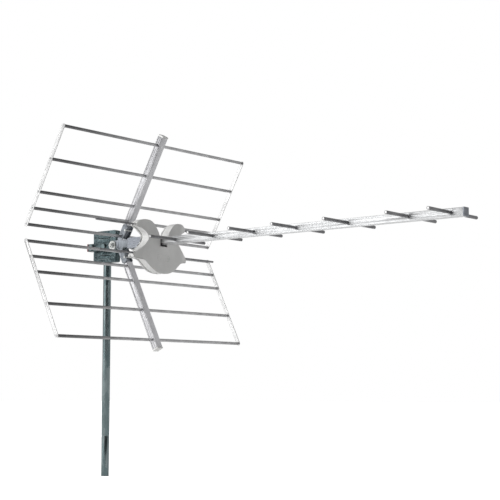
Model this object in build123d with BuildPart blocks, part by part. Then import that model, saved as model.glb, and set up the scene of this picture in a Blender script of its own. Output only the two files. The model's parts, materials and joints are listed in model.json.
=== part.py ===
"""Yagi antenna with a folding corner reflector, clamped to the head of a round mast.

Millimetres. The origin is the centre of the mast's foot. +Z runs up the mast and +X is the way
the antenna points. The boom passes the mast on its -Y side, and the elements lie along Y.
"""
import os
from math import atan2, cos, degrees, radians, sin, sqrt

from build123d import *

os.makedirs("parts", exist_ok=True)

# ---- Driving dimensions ----------------------------------------------------------------------
# Mast
mast_r = 8.0
mast_wall = 1.5
mast_length = 496.0
foot_depth = 80.0          # how far the foot goes into its socket
mark_depth = 0.3           # the shallow ring that marks that depth
mark_width = 2.0

# Boom, which runs along X through (boom_y, boom_z)
hub_x = 69.0               # distance of the reflector hub in front of the mast
boom_y = -22.0
boom_z = 466.0
tube = 15.0                # square tube of the boom and the struts
tube_wall = 1.2
boom_rear = hub_x - 96.0
boom_joint = hub_x + 30.0  # where the rear and the front tube meet, inside the sleeve
boom_front = hub_x + 785.0
plug_rim = 0.3
plug_flange = 3.0
plug_insert = 8.0
rear_plug_insert = 4.0     # short, because the clamp's rear bolt is close by

# Mast clamp
sheet = 2.0
clamp_width = 64.0
clamp_x = 5.0              # the bracket's middle: it reaches further forwards, towards the hub
clamp_height = 66.0
clamp_z = boom_z + 1.5
jaw_width = 48.0
jaw_height = 32.0
jaw_depth = 12.0
jaw_gap = 2.0              # between the bracket's rim and the jaw's rim when tight
mast_play = 0.3
tooth = 0.9
bolt_r = 3.0
bolt_play = 0.05
bolt_spread = 18.0         # each side of the mast
bolt_end = 31.0
nut_height = 7.0
washer = 1.6

# Hub and reflector
hub_z = boom_z + 1.5
pivot_rise = 15.5          # of each fold pivot from the middle of the hub
pivot_x = hub_x - 1.0
cheek = 1.5
neck_half = 8.0
neck_front = hub_x + 17.5
neck_rear = hub_x - 31.0
arm_back = -5.5
arm_front = 8.0
arm_length = 25.5
upper_lean = 29.0          # forward lean of each half, in degrees from vertical
lower_lean = 26.0
rod_r = 3.0
rod_pitch = 33.4
rod_steps = (0, 1, 2, 4, 6)
panel_half = 260.0         # half of the reflector's width
rail_depth = 8.0
rail_thickness = 1.5
spigot_r = 1.5
strut_start = 27.0
strut_end = 219.0
knuckle_half = 3.9
knuckle_width = 14.4
stop_at = (16.0, 5.4)      # along the arm, and in front of the rods
stop_r = 1.75
hub_bolt_x = hub_x - 23.5

# Front of the antenna
director_x = (147.0, 243.0, 342.0, 441.0, 554.0, 681.0, 762.0)   # in front of the hub
director_length = 159.0
director_r = 3.0
director_wall = 0.8
sleeve_start = neck_front + 1.0
sleeve_end = hub_x + 85.6
dipole_x = hub_x + 97.0
dipole_rise = 28.0
dipole_half = 174.5
arm_r = 2.0

# Dipole housing
case_back = hub_x + 86.0
case_split = hub_x + 91.0
case_front = hub_x + 105.5   # at the wing tips
case_crown = hub_x + 110.0   # over the boom
case_wall = 2.0
boom_passage = tube + 1.0    # the square opening through the housing
posts = ((-26, 16), (26, 16), (-33, -42), (33, -42))   # screw posts, from the boom's axis
post_r = 3.2
screw_r = 1.5
upper_terminal = 41.0        # of each terminal from the boom's axis, along the arm
lower_terminal = 20.0
board_x = hub_x + 90.0
board_thickness = 1.6
connector_at = (-23.0, -29.5)   # in line with the gap between two reflector rods
connector_r = 4.76           # 3/8 inch thread
connector_length = 12.0


def write(piece, name):
    """Label a finished piece and write it to its own file."""
    piece.label = name
    export_step(piece, f"parts/{name}.step")


def lengthwise(x):
    """A plane across the boom at x, with local x along Y and local y along Z."""
    return Plane(origin=(x, boom_y, boom_z), x_dir=(0, 1, 0), z_dir=(1, 0, 0))


def crosswise(x, y, z):
    """A plane that faces +Y, with local x along X and local y down."""
    return Plane(origin=(x, y, z), x_dir=(1, 0, 0), z_dir=(0, 1, 0))


# ---- Mast ------------------------------------------------------------------------------------
with BuildPart() as mast:
    with BuildSketch():
        Circle(mast_r)
        Circle(mast_r - mast_wall, mode=Mode.SUBTRACT)
    extrude(amount=mast_length)
    with BuildSketch(Plane.XY.offset(foot_depth)):
        Circle(mast_r)
        Circle(mast_r - mark_depth, mode=Mode.SUBTRACT)
    extrude(amount=mark_width, mode=Mode.SUBTRACT)
write(mast.part, "mast")

with BuildPart(Plane.XY.offset(mast_length)) as mast_cap:
    Cylinder(mast_r, 1.5, align=(Align.CENTER, Align.CENTER, Align.MIN))
    Cylinder(mast_r - mast_wall, 8, align=(Align.CENTER, Align.CENTER, Align.MAX))
    fillet(mast_cap.edges().sort_by(Axis.Z)[-1], 1)
write(mast_cap.part, "mast_cap")


# ---- Mast clamp ------------------------------------------------------------------------------
def serrated_vee(sign, reach):
    """Corners of a toothed right-angle V round the mast, open along sign * Y."""
    apex = (mast_r + mast_play) * sqrt(2)
    side = []
    steps = 6
    for step in range(1, steps + 1):
        along = apex * step / steps
        dip = tooth if step % 2 else 0.0
        side.append((along + dip / 2, along - dip / 2))
    right = [(x, -apex + y) for x, y in side] + [(apex, reach)]
    left = [(-x, y) for x, y in reversed(right)]
    corners = [(0, -apex)] + right + left
    return [(x, sign * y) for x, y in corners]


web_front = boom_y + tube / 2 + 0.5     # the bracket's web lies just behind the boom
bracket_depth = -web_front              # its rim reaches the mast's centre plane

with BuildPart(crosswise(clamp_x, web_front, clamp_z)) as clamp_bracket:
    Box(clamp_width, clamp_height, bracket_depth, align=(Align.CENTER, Align.CENTER, Align.MIN))
    fillet(clamp_bracket.edges().filter_by(Axis.Y), 4)
    with Locations((0, 0, sheet)):
        Box(clamp_width - 2 * sheet, clamp_height - 2 * sheet, bracket_depth,
            align=(Align.CENTER, Align.CENTER, Align.MIN), mode=Mode.SUBTRACT)
    with BuildSketch(Plane.XY.offset(clamp_z)):
        Polygon(*serrated_vee(1, 5), align=None)
    extrude(amount=clamp_height, both=True, mode=Mode.SUBTRACT)
    with Locations(*[(side * bolt_spread - clamp_x, clamp_z - boom_z, 0) for side in (-1, 1)]):
        Hole(bolt_r + bolt_play, 3 * sheet)
write(clamp_bracket.part, "clamp_bracket")

jaw_web = jaw_gap + jaw_depth
with BuildPart(crosswise(0, jaw_gap, boom_z)) as clamp_jaw:
    Box(jaw_width, jaw_height, jaw_depth, align=(Align.CENTER, Align.CENTER, Align.MIN))
    fillet(clamp_jaw.edges().filter_by(Axis.Y), 4)
    Box(jaw_width - 2 * sheet, jaw_height - 2 * sheet, 2 * (jaw_depth - sheet), mode=Mode.SUBTRACT)
    with BuildSketch(Plane.XY.offset(boom_z)):
        Polygon(*serrated_vee(-1, 5), align=None)
    extrude(amount=jaw_height, both=True, mode=Mode.SUBTRACT)
    with Locations((-bolt_spread, 0, jaw_depth), (bolt_spread, 0, jaw_depth)):
        Hole(bolt_r + bolt_play, 3 * sheet)
write(clamp_jaw.part, "clamp_jaw")

boom_face = boom_y - tube / 2
with BuildPart(crosswise(0, boom_face, boom_z)) as clamp_bolts:
    with Locations((-bolt_spread, 0, 0), (bolt_spread, 0, 0)):
        Cylinder(bolt_r, bolt_end - boom_face, align=(Align.CENTER, Align.CENTER, Align.MIN))
        Cylinder(6, 3, align=(Align.CENTER, Align.CENTER, Align.MAX))
    fillet(clamp_bolts.faces().sort_by(Axis.Y)[:2].edges(), 2)
write(clamp_bolts.part, "clamp_bolts")

with BuildPart(crosswise(0, boom_y, boom_z)) as crush_sleeves:
    with Locations((-bolt_spread, 0, 0), (bolt_spread, 0, 0)):
        Cylinder(4.5, tube - 2 * tube_wall - 0.1)
        Cylinder(bolt_r + bolt_play, tube, mode=Mode.SUBTRACT)
write(crush_sleeves.part, "crush_sleeves")

with BuildPart(crosswise(0, jaw_web, boom_z)) as jaw_washers:
    with Locations((-bolt_spread, 0, 0), (bolt_spread, 0, 0)):
        Cylinder(7, washer, align=(Align.CENTER, Align.CENTER, Align.MIN))
        Cylinder(bolt_r + bolt_play, 3 * washer, mode=Mode.SUBTRACT)
write(jaw_washers.part, "jaw_washers")

nut_seat = jaw_web + washer
for name, nut_x in (("wing_nut_rear", -bolt_spread), ("wing_nut_front", bolt_spread)):
    with BuildPart(crosswise(nut_x, nut_seat, boom_z)) as wing_nut:
        Cone(6, 4.8, nut_height, align=(Align.CENTER, Align.CENTER, Align.MIN))
        with BuildSketch(Plane(origin=(nut_x, nut_seat, boom_z), x_dir=(1, 0, 0), z_dir=(0, 0, 1))):
            with Locations((-8.5, 8), (8.5, 8)):
                Ellipse(4.5, 5.5)
            with Locations((0, 4)):
                Rectangle(14, 5)
        extrude(amount=1.2, both=True)
        Hole(bolt_r + bolt_play, 4 * nut_height)
    write(wing_nut.part, name)

# ---- Boom ------------------------------------------------------------------------------------
with BuildPart() as rear_boom:
    with BuildSketch(lengthwise(boom_rear)):
        RectangleRounded(tube, tube, 1)
        Rectangle(tube - 2 * tube_wall, tube - 2 * tube_wall, mode=Mode.SUBTRACT)
    extrude(amount=boom_joint - boom_rear)
    with BuildSketch(crosswise(0, boom_y, boom_z)):
        with Locations((-bolt_spread, 0), (bolt_spread, 0), (hub_bolt_x, 0)):
            Circle(bolt_r + bolt_play)
    extrude(amount=tube, both=True, mode=Mode.SUBTRACT)
write(rear_boom.part, "rear_boom")

with BuildPart() as front_boom:
    with BuildSketch(lengthwise(boom_joint)):
        RectangleRounded(tube, tube, 1)
        Rectangle(tube - 2 * tube_wall, tube - 2 * tube_wall, mode=Mode.SUBTRACT)
    extrude(amount=boom_front - boom_joint)
    with BuildSketch(crosswise(hub_x, boom_y, boom_z)):
        with Locations(*[(x, 0) for x in director_x]):
            Circle(director_r + 0.02)
    extrude(amount=tube, both=True, mode=Mode.SUBTRACT)
write(front_boom.part, "front_boom")


def tube_plug(end_plane, insert=plug_insert):
    """A push-in cap for the open end of the square tube, on a plane that faces outwards."""
    with BuildPart(end_plane) as plug:
        Box(tube + 2 * plug_rim, tube + 2 * plug_rim, plug_flange,
            align=(Align.CENTER, Align.CENTER, Align.MIN))
        outwards = end_plane.z_dir
        fillet(plug.edges().filter_by(lambda edge: abs(edge.tangent_at(0.5).dot(outwards)) > 0.9), 1.2)
        fillet(plug.faces().sort_by(lambda face: face.center().dot(outwards))[-1].edges(), 0.8)
        inner = tube - 2 * tube_wall - 0.1
        Box(inner, inner, insert, align=(Align.CENTER, Align.CENTER, Align.MAX))
    return plug.part


write(tube_plug(lengthwise(boom_front)), "front_boom_plug")
rear_face = Plane(origin=(boom_rear, boom_y, boom_z), x_dir=(0, -1, 0), z_dir=(-1, 0, 0))
write(tube_plug(rear_face, rear_plug_insert), "rear_boom_plug")

# The ribbed sleeve that joins the two tubes, with a raised keel along its top
sleeve_half = tube / 2 + 2
sleeve_low = -tube / 2 - 1.5
sleeve_high = tube / 2 + 5
with BuildPart() as boom_sleeve:
    with BuildSketch(lengthwise(sleeve_start)):
        with Locations((0, (sleeve_low + sleeve_high) / 2)):
            RectangleRounded(2 * sleeve_half, sleeve_high - sleeve_low, 1.5)
        with Locations(*[(side * sleeve_half, rise) for side in (-1, 1) for rise in (-4, 0.5, 5, 9.5)]):
            Circle(0.8)
        Rectangle(tube + 0.1, tube + 0.1, mode=Mode.SUBTRACT)
        with Locations((0, tube / 2 + 2.6)):
            SlotOverall(10, 2.2, mode=Mode.SUBTRACT)
    extrude(amount=sleeve_end - sleeve_start)
write(boom_sleeve.part, "boom_sleeve")

sleeve_underside = Plane(origin=(0, boom_y, boom_z + sleeve_low), x_dir=(1, 0, 0), z_dir=(0, 0, -1))
with BuildPart(sleeve_underside) as sleeve_screws:
    with Locations((boom_joint - 6, 0, 0), (boom_joint + 6, 0, 0), (boom_joint + 44, 0, 0)):
        Cylinder(3.5, 2.2, align=(Align.CENTER, Align.CENTER, Align.MIN))
    fillet(sleeve_screws.faces().filter_by(Axis.Z).sort_by(Axis.Z)[:3].edges(), 1)
write(sleeve_screws.part, "sleeve_screws")

# ---- Directors -------------------------------------------------------------------------------
for number, x in enumerate(director_x, start=1):
    with BuildPart(crosswise(hub_x + x, boom_y, boom_z)) as director:
        Cylinder(director_r, director_length)
        Cylinder(director_r - director_wall, director_length, mode=Mode.SUBTRACT)
    write(director.part, f"director_{number}")

# ---- Reflector hub ---------------------------------------------------------------------------
panels = {
    "upper": Plane(origin=(pivot_x, boom_y, hub_z + pivot_rise), x_dir=(0, 1, 0),
                   z_dir=(cos(radians(upper_lean)), 0, -sin(radians(upper_lean)))),
    "lower": Plane(origin=(pivot_x, boom_y, hub_z - pivot_rise), x_dir=(0, -1, 0),
                   z_dir=(cos(radians(lower_lean)), 0, sin(radians(lower_lean)))),
}
# In a panel's plane, local x lies along the rods, local y outwards along the strut, and local z
# forwards out of the panel.

hub_face = tube / 2 + cheek
for name, inner_face in (("hub_cheek_near", boom_y - hub_face), ("hub_cheek_far", boom_y + tube / 2)):
    with BuildPart() as hub_cheek:
        with BuildSketch(crosswise(0, inner_face, hub_z)):
            with Locations(((neck_rear + neck_front) / 2, 0)):
                RectangleRounded(neck_front - neck_rear, 2 * neck_half, 3)
            arm_middle = (arm_back + arm_front) / 2
            for side, lean in ((-1, upper_lean), (1, lower_lean)):
                with Locations(Location((pivot_x, side * pivot_rise, 0), -side * lean)):
                    with Locations((arm_middle, side * (arm_length - 10) / 2)):
                        RectangleRounded(arm_front - arm_back, arm_length + 10, 2.5)
        extrude(amount=cheek)
        with BuildSketch(crosswise(0, inner_face, hub_z)):
            with Locations((hub_bolt_x, hub_z - boom_z)):
                Circle(bolt_r + bolt_play)
            for side, lean in ((-1, upper_lean), (1, lower_lean)):
                with Locations(Location((pivot_x, side * pivot_rise, 0), -side * lean)):
                    Circle(rod_r + 0.05)
                    with Locations((stop_at[1], side * stop_at[0])):
                        Circle(stop_r)
        extrude(amount=cheek, mode=Mode.SUBTRACT)
    write(hub_cheek.part, name)

with BuildPart(crosswise(hub_bolt_x, boom_y + hub_face, boom_z)) as hub_bolt:
    with BuildSketch(crosswise(hub_bolt_x, boom_y + hub_face, boom_z)):
        RegularPolygon(5.0, 6, major_radius=False)
    extrude(amount=4)
    Cylinder(bolt_r, 2 * hub_face + 8, align=(Align.CENTER, Align.CENTER, Align.MAX))
write(hub_bolt.part, "hub_bolt")

with BuildPart(crosswise(hub_bolt_x, boom_y - hub_face, boom_z)) as hub_nut:
    Cylinder(9.5, 1.6, align=(Align.CENTER, Align.CENTER, Align.MAX))
    with BuildSketch(crosswise(hub_bolt_x, boom_y - hub_face, boom_z)):
        RegularPolygon(5.0, 6, major_radius=False)
    extrude(amount=-6.5)
    Hole(bolt_r + 0.02, 20)
write(hub_nut.part, "hub_nut")

with BuildPart() as stop_rivets:
    for panel in panels.values():
        with BuildSketch(Plane(origin=panel.from_local_coords((0, stop_at[0], stop_at[1])),
                               x_dir=(1, 0, 0), z_dir=(0, 1, 0))):
            Circle(stop_r)
        extrude(amount=hub_face, both=True)
        for side in (-1, 1):
            stop_end = panel.from_local_coords((0, stop_at[0], stop_at[1])) + Vector(0, side * hub_face, 0)
            with BuildSketch(Plane(origin=stop_end, x_dir=(1, 0, 0), z_dir=(0, side, 0))):
                Circle(2.5)
            extrude(amount=1)
write(stop_rivets.part, "stop_rivets")

# ---- Reflector halves ------------------------------------------------------------------------
across = (0, 90, 0)        # turns a cylinder so that it lies along the rods
last_rod = rod_steps[-1] * rod_pitch

for half, panel in panels.items():
    with BuildPart(panel) as strut:
        with Locations((0, strut_start, 0)):
            Box(tube, strut_end - strut_start, tube, align=(Align.CENTER, Align.MIN, Align.CENTER))
            fillet(strut.edges().filter_by(lambda edge: abs(edge.tangent_at(0.5).dot(panel.y_dir)) > 0.9), 1)
            Box(tube - 2 * tube_wall, strut_end - strut_start, tube - 2 * tube_wall,
                align=(Align.CENTER, Align.MIN, Align.CENTER), mode=Mode.SUBTRACT)
        with Locations(*[(0, step * rod_pitch, 0) for step in rod_steps[1:]]):
            Cylinder(rod_r + 0.02, tube, rotation=across, mode=Mode.SUBTRACT)
    write(strut.part, f"{half}_strut")

    end_plane = Plane(origin=panel.from_local_coords((0, strut_end, 0)), x_dir=panel.x_dir, z_dir=panel.y_dir)
    write(tube_plug(end_plane), f"{half}_strut_plug")

    with BuildPart(panel) as knuckle:
        inner = tube - 2 * tube_wall - 0.1
        Cylinder(knuckle_half, knuckle_width, rotation=across)
        Box(knuckle_width, strut_start - 0.5, 2 * knuckle_half, align=(Align.CENTER, Align.MIN, Align.CENTER))
        with Locations((0, strut_start - 0.5, 0)):
            Box(inner, 5.5, 2 * knuckle_half, align=(Align.CENTER, Align.MIN, Align.CENTER))
        with Locations((0, strut_start + 5, 0)):
            Box(inner, 12, inner, align=(Align.CENTER, Align.MIN, Align.CENTER))
        Cylinder(rod_r + 0.02, tube, rotation=across, mode=Mode.SUBTRACT)
        with Locations((0, rod_pitch, 0)):
            Cylinder(rod_r + 0.02, tube, rotation=across, mode=Mode.SUBTRACT)
        with Locations((0, stop_at[0], stop_at[1])):
            Cylinder(stop_r + 0.35, tube, rotation=across, mode=Mode.SUBTRACT)
    write(knuckle.part, f"{half}_knuckle")

    for number, step in enumerate(rod_steps, start=1):
        with BuildPart(panel) as rod:
            with Locations((0, step * rod_pitch, 0)):
                Cylinder(rod_r, 2 * (panel_half - rail_thickness), rotation=across)
                Cylinder(spigot_r, 2 * panel_half, rotation=across)
            for side in (-1, 1):
                with Locations((side * panel_half, step * rod_pitch, 0)):
                    Cylinder(2.2, 0.8, rotation=(0, side * 90, 0),
                             align=(Align.CENTER, Align.CENTER, Align.MIN))
        write(rod.part, f"{half}_rod_{number}")

    for side_name, side in (("near", -1), ("far", 1)):
        local_side = side * panel.x_dir.Y
        rail_face = Plane(origin=panel.from_local_coords((local_side * panel_half, last_rod / 2, 0)),
                          x_dir=panel.y_dir, z_dir=panel.x_dir * local_side)
        with BuildPart() as rail:
            with BuildSketch(rail_face):
                SlotOverall(last_rod + rail_depth, rail_depth)
                with Locations(*[(step * rod_pitch - last_rod / 2, 0) for step in rod_steps]):
                    Circle(spigot_r + 0.02, mode=Mode.SUBTRACT)
            extrude(amount=-rail_thickness)
        write(rail.part, f"{half}_rail_{side_name}")

# ---- Dipole housing --------------------------------------------------------------------------
# The outline from the front: rounded wings above and below a waist, and a notch over the boom
case_corners = (
    (17, -62.8, 30),       # the belly's flat
    (54, -38.5, 12),       # where the belly meets the lower wing
    (83, -34.7, 4.5),      # lower wing tip
    (52, -12.5, 25),
    (41.5, 0, 11),         # waist
    (43, 9, 11),
    (56, 21.5, 25),
    (75.5, 29, 4),         # upper wing tip
    (56, 38, 18),
    (34, 36.5, 14),
    (14, 17, 8),
    (12, 10, 3),           # foot of the notch over the boom
)
with BuildSketch() as case_outline:
    with BuildLine():
        path = [(0, -62.8)] + [(y, z) for y, z, _ in case_corners] + [(0, 10)]
        FilletPolyline(*path, radius=[r for _, _, r in case_corners])
        mirror(about=Plane.YZ)
    make_face()

crown_rise = case_crown - case_front
crown_r = (70.0**2 + crown_rise**2) / (2 * crown_rise)


along_arms = (90, 0, 0)      # turns a cylinder so that it lies along Y
arm_axes = [(dipole_x, boom_y, boom_z + dipole_rise), (dipole_x, boom_y, boom_z - dipole_rise)]


def crown(radius):
    """A large upright cylinder whose front is the housing's gently crowned face."""
    return Pos(case_crown - crown_r, boom_y, boom_z) * Cylinder(radius, 200)


with BuildPart() as housing_front:
    with BuildSketch(lengthwise(case_split)):
        add(case_outline.sketch)
    extrude(amount=case_crown - case_split + 1)
    add(crown(crown_r), mode=Mode.INTERSECT)
    with BuildPart(mode=Mode.PRIVATE) as cavity:
        with BuildSketch(lengthwise(case_split)):
            add(case_outline.sketch)
            offset(amount=-case_wall, kind=Kind.INTERSECTION)
        extrude(amount=case_crown - case_split + 1)
        add(crown(crown_r - case_wall), mode=Mode.INTERSECT)
    add(cavity.part, mode=Mode.SUBTRACT)
    with BuildSketch(lengthwise(case_split)):
        with Locations(*posts):
            Circle(post_r)
    extrude(amount=case_crown - 1.5 - case_split)
    with BuildSketch(lengthwise(case_split)):
        with Locations(*posts):
            Circle(screw_r)
    extrude(amount=8, mode=Mode.SUBTRACT)
    with BuildSketch(lengthwise(case_split)):
        RectangleRounded(boom_passage, boom_passage, 1.2)
    extrude(amount=20, mode=Mode.SUBTRACT)
    with Locations(*arm_axes):
        Cylinder(arm_r + 0.1, 2 * dipole_half, rotation=along_arms, mode=Mode.SUBTRACT)
    with BuildSketch(lengthwise(case_crown - 1)):
        with Locations((0, -34)):
            SlotOverall(34, 13)
            SlotOverall(31, 10, mode=Mode.SUBTRACT)
    extrude(amount=1.4)
write(housing_front.part, "housing_front")

with BuildPart() as housing_rear:
    with BuildSketch(lengthwise(case_back)):
        add(case_outline.sketch)
    extrude(amount=case_split - case_back)
    with BuildSketch(lengthwise(case_back + case_wall)):
        add(case_outline.sketch)
        offset(amount=-case_wall, kind=Kind.INTERSECTION)
    extrude(amount=case_split - case_back, mode=Mode.SUBTRACT)
    with BuildSketch(lengthwise(case_back)):
        with Locations(*posts):
            Circle(post_r)
    extrude(amount=case_split - case_back)
    with BuildSketch(lengthwise(case_back)):
        with Locations(*posts):
            Circle(screw_r + 0.1)
        with Locations(connector_at):
            Circle(connector_r + 0.1)
        RectangleRounded(boom_passage, boom_passage, 1.2)
    extrude(amount=case_split - case_back, mode=Mode.SUBTRACT)
write(housing_rear.part, "housing_rear")

with BuildPart() as housing_seal:
    with BuildSketch(lengthwise(case_split - 0.8)):
        with BuildSketch(mode=Mode.PRIVATE) as seal_hole:
            add(case_outline.sketch)
            offset(amount=-case_wall - 1.3, kind=Kind.INTERSECTION)
        add(case_outline.sketch)
        offset(amount=-case_wall - 0.05, kind=Kind.INTERSECTION)
        add(seal_hole.sketch, mode=Mode.SUBTRACT)
        RectangleRounded(boom_passage, boom_passage, 1.2, mode=Mode.SUBTRACT)
    extrude(amount=1.6)
write(housing_seal.part, "housing_seal")

with BuildPart() as housing_screws:
    with BuildSketch(lengthwise(case_back)):
        with Locations(*posts):
            Circle(screw_r)
    extrude(amount=12)
    with BuildSketch(lengthwise(case_back - 1.8)):
        with Locations(*posts):
            Circle(2.8)
    extrude(amount=1.8)
    fillet(housing_screws.faces().sort_by(Axis.X)[:4].edges(), 0.8)
write(housing_screws.part, "housing_screws")

# ---- Dipole and its feed ---------------------------------------------------------------------
arm_inset = 3.0              # how far each arm reaches through the middle of its terminal
levels = (("upper", dipole_rise, upper_terminal), ("lower", -dipole_rise, lower_terminal))
for level, rise, terminal in levels:
    inner = terminal - arm_inset
    for side_name, side in (("near", -1), ("far", 1)):
        with BuildPart(crosswise(dipole_x, boom_y, boom_z + rise)) as dipole_arm:
            with Locations((0, 0, side * (inner + dipole_half) / 2)):
                Cylinder(arm_r, dipole_half - inner)
            fillet(dipole_arm.edges().sort_by(Axis.Y)[0 if side < 0 else -1], 0.6)
        write(dipole_arm.part, f"dipole_arm_{level}_{side_name}")

terminal_spots = [(side * spot, rise) for side in (-1, 1)
                  for spot, rise in ((upper_terminal, dipole_rise), (lower_terminal, -dipole_rise))]
with BuildPart() as terminals:
    with BuildSketch(lengthwise(board_x + board_thickness)):
        with Locations(*terminal_spots):
            RectangleRounded(8, 7.5, 1)
    extrude(amount=dipole_x + 3.4 - board_x - board_thickness)
    with Locations(*arm_axes):
        Cylinder(arm_r + 0.02, 2 * dipole_half, rotation=along_arms, mode=Mode.SUBTRACT)
write(terminals.part, "terminals")

with BuildPart() as feed_bars:
    for side in (-1, 1):
        top = (side * upper_terminal, dipole_rise)
        bottom = (side * lower_terminal, -dipole_rise)
        with BuildSketch(lengthwise(dipole_x + 3.4)):
            with Locations(((top[0] + bottom[0]) / 2, 0)):
                run = Vector(top[0] - bottom[0], top[1] - bottom[1])
                SlotCenterToCenter(run.length, 5, rotation=degrees(atan2(run.Y, run.X)))
        extrude(amount=0.8)
write(feed_bars.part, "feed_bars")

with BuildPart() as balun_board:
    with BuildSketch(lengthwise(board_x)):
        with Locations((0, -34)):
            RectangleRounded(56, 32, 2)
        with Locations(*posts[2:]):
            Circle(post_r + 0.4, mode=Mode.SUBTRACT)
    extrude(amount=board_thickness)
write(balun_board.part, "balun_board")

connector_face = Plane(origin=(case_back, boom_y + connector_at[0], boom_z + connector_at[1]),
                       x_dir=(0, -1, 0), z_dir=(-1, 0, 0))
with BuildPart(connector_face) as f_connector:
    with BuildSketch(connector_face):
        RegularPolygon(5.5, 6, major_radius=False)
    extrude(amount=2.5)
    with Locations((0, 0, 2.5)):
        Cylinder(connector_r, connector_length, align=(Align.CENTER, Align.CENTER, Align.MIN))
    Cylinder(connector_r, board_x - case_back, align=(Align.CENTER, Align.CENTER, Align.MAX))
    with Locations((0, 0, 2.5 + connector_length)):
        Cylinder(3.6, 1.5, align=(Align.CENTER, Align.CENTER, Align.MAX), mode=Mode.SUBTRACT)
        Cylinder(0.6, 5, align=(Align.CENTER, Align.CENTER, Align.MAX), mode=Mode.SUBTRACT)
write(f_connector.part, "f_connector")
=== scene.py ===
# %% [markdown]
# # A television antenna on its mast
#
# The solid model already holds every size, place and joint of this antenna. This lesson dresses it:
# it loads the solid pieces, gives each one the finish that it has on the real object, and rebuilds
# the pieces whose edges, threads or crowned faces the solids only hint at. We load the solids first
# and measure their box, because nothing made here may stand outside it.

# %% Load the solid model
import json
import math

import bmesh
import bpy
from mathutils import Matrix, Vector

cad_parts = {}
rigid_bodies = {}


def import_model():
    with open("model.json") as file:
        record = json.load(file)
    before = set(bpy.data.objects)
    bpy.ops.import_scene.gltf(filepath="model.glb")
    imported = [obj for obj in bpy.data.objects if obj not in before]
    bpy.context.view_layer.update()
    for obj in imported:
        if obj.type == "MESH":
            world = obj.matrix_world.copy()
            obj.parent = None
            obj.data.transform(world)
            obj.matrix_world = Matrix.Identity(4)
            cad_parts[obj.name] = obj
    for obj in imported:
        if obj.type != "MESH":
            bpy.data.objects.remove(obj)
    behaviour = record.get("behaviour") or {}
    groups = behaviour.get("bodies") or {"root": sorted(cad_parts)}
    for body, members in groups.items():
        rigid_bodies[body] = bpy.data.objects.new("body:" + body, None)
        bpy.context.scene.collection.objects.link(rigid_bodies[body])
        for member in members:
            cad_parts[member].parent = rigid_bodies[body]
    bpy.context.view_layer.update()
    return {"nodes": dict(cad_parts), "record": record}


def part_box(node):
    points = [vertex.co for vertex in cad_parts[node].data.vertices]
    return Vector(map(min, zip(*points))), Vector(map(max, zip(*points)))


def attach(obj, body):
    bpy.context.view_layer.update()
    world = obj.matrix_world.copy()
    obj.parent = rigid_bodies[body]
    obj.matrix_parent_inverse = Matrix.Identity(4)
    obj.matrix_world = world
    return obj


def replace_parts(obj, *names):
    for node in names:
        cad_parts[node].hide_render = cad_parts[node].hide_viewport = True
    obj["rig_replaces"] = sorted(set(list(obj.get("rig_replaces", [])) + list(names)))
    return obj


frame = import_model()
nodes = frame["nodes"]
bodies = frame["record"]["behaviour"]["bodies"]
body_of_node = {name: body for body, names in bodies.items() for name in names}
slot_of_node = {row["node"]: row["material_slot"] for row in frame["record"]["subparts"]}


# %% [markdown]
# ## Where things are
#
# Positions come from the solids' own boxes, so this file has no second copy of the design. The
# housing's outline is the one exception: a box can't say how a curved outline runs, so its corner
# points are given where the housing is made.

# %% Read the main places from the solids
def middle(name):
    """The centre of a solid piece."""
    low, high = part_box(name)
    return (low + high) / 2


def size(name):
    """The size of a solid piece along X, Y and Z."""
    low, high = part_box(name)
    return high - low


boom = middle("front_boom")
tube_width = size("front_boom").y
print("boom axis y %.4f z %.4f, tube %.4f" % (boom.y, boom.z, tube_width))

# %% [markdown]
# ## Camera
#
# The antenna is seen from in front and a little below, from nearly two metres away, with a long
# lens that keeps the boom from looking stretched. A camera looks along its own -Z axis, so we build
# its turn from two angles: how far round the mast it stands and how far it looks up.

# %% Place the camera
camera_at = Vector((1.9184, -1.9001, 0.1727))
look_round = math.radians(39.0)
look_up = math.radians(6.16)
camera_data = bpy.data.cameras.new("camera")
camera_data.sensor_width = 36.0
camera_data.lens = 93.8
camera_data.clip_end = 100.0
camera = bpy.data.objects.new("camera", camera_data)
bpy.context.scene.collection.objects.link(camera)
camera.location = camera_at
camera.rotation_euler = (math.pi / 2 + look_up, 0.0, look_round)
bpy.context.scene.camera = camera
print("camera stands", round((camera_at - boom).length, 2), "m from the boom")

# %% [markdown]
# ## Stage and light
#
# Bright metal shows what stands round it, so a studio matters more here than for a painted thing.
# The stage is a plain pale floor. A large soft lamp stands to the left of the camera, high up, and
# lights the sides that face it. A weaker one behind the antenna lights the top faces.

# %% Build the floor and the lamps
stage_color = (0.93, 0.93, 0.925, 1.0)


def new_material(name):
    """An empty material with its tree and its shader."""
    material = bpy.data.materials.new(name)
    material.use_nodes = True
    return material, material.node_tree, material.node_tree.nodes["Principled BSDF"]


def mesh_object(name, bm):
    """Turn a bmesh into an object in the scene."""
    mesh = bpy.data.meshes.new(name)
    bm.to_mesh(mesh)
    bm.free()
    made = bpy.data.objects.new(name, mesh)
    bpy.context.scene.collection.objects.link(made)
    return made


floor_bm = bmesh.new()
floor_half = 14.0
bmesh.ops.create_grid(floor_bm, x_segments=2, y_segments=2, size=floor_half)
floor = mesh_object("floor", floor_bm)
floor_material, floor_tree, floor_shader = new_material("stage_floor")
floor_shader.inputs["Base Color"].default_value = stage_color
floor_shader.inputs["Roughness"].default_value = 0.9
floor.data.materials.append(floor_material)

world = bpy.data.worlds.new("studio")
bpy.context.scene.world = world
world.use_nodes = True
background = world.node_tree.nodes["Background"]
background.inputs["Color"].default_value = (1.0, 1.0, 1.0, 1.0)
background.inputs["Strength"].default_value = 1.0
bpy.context.scene.view_settings.view_transform = "Standard"


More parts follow.
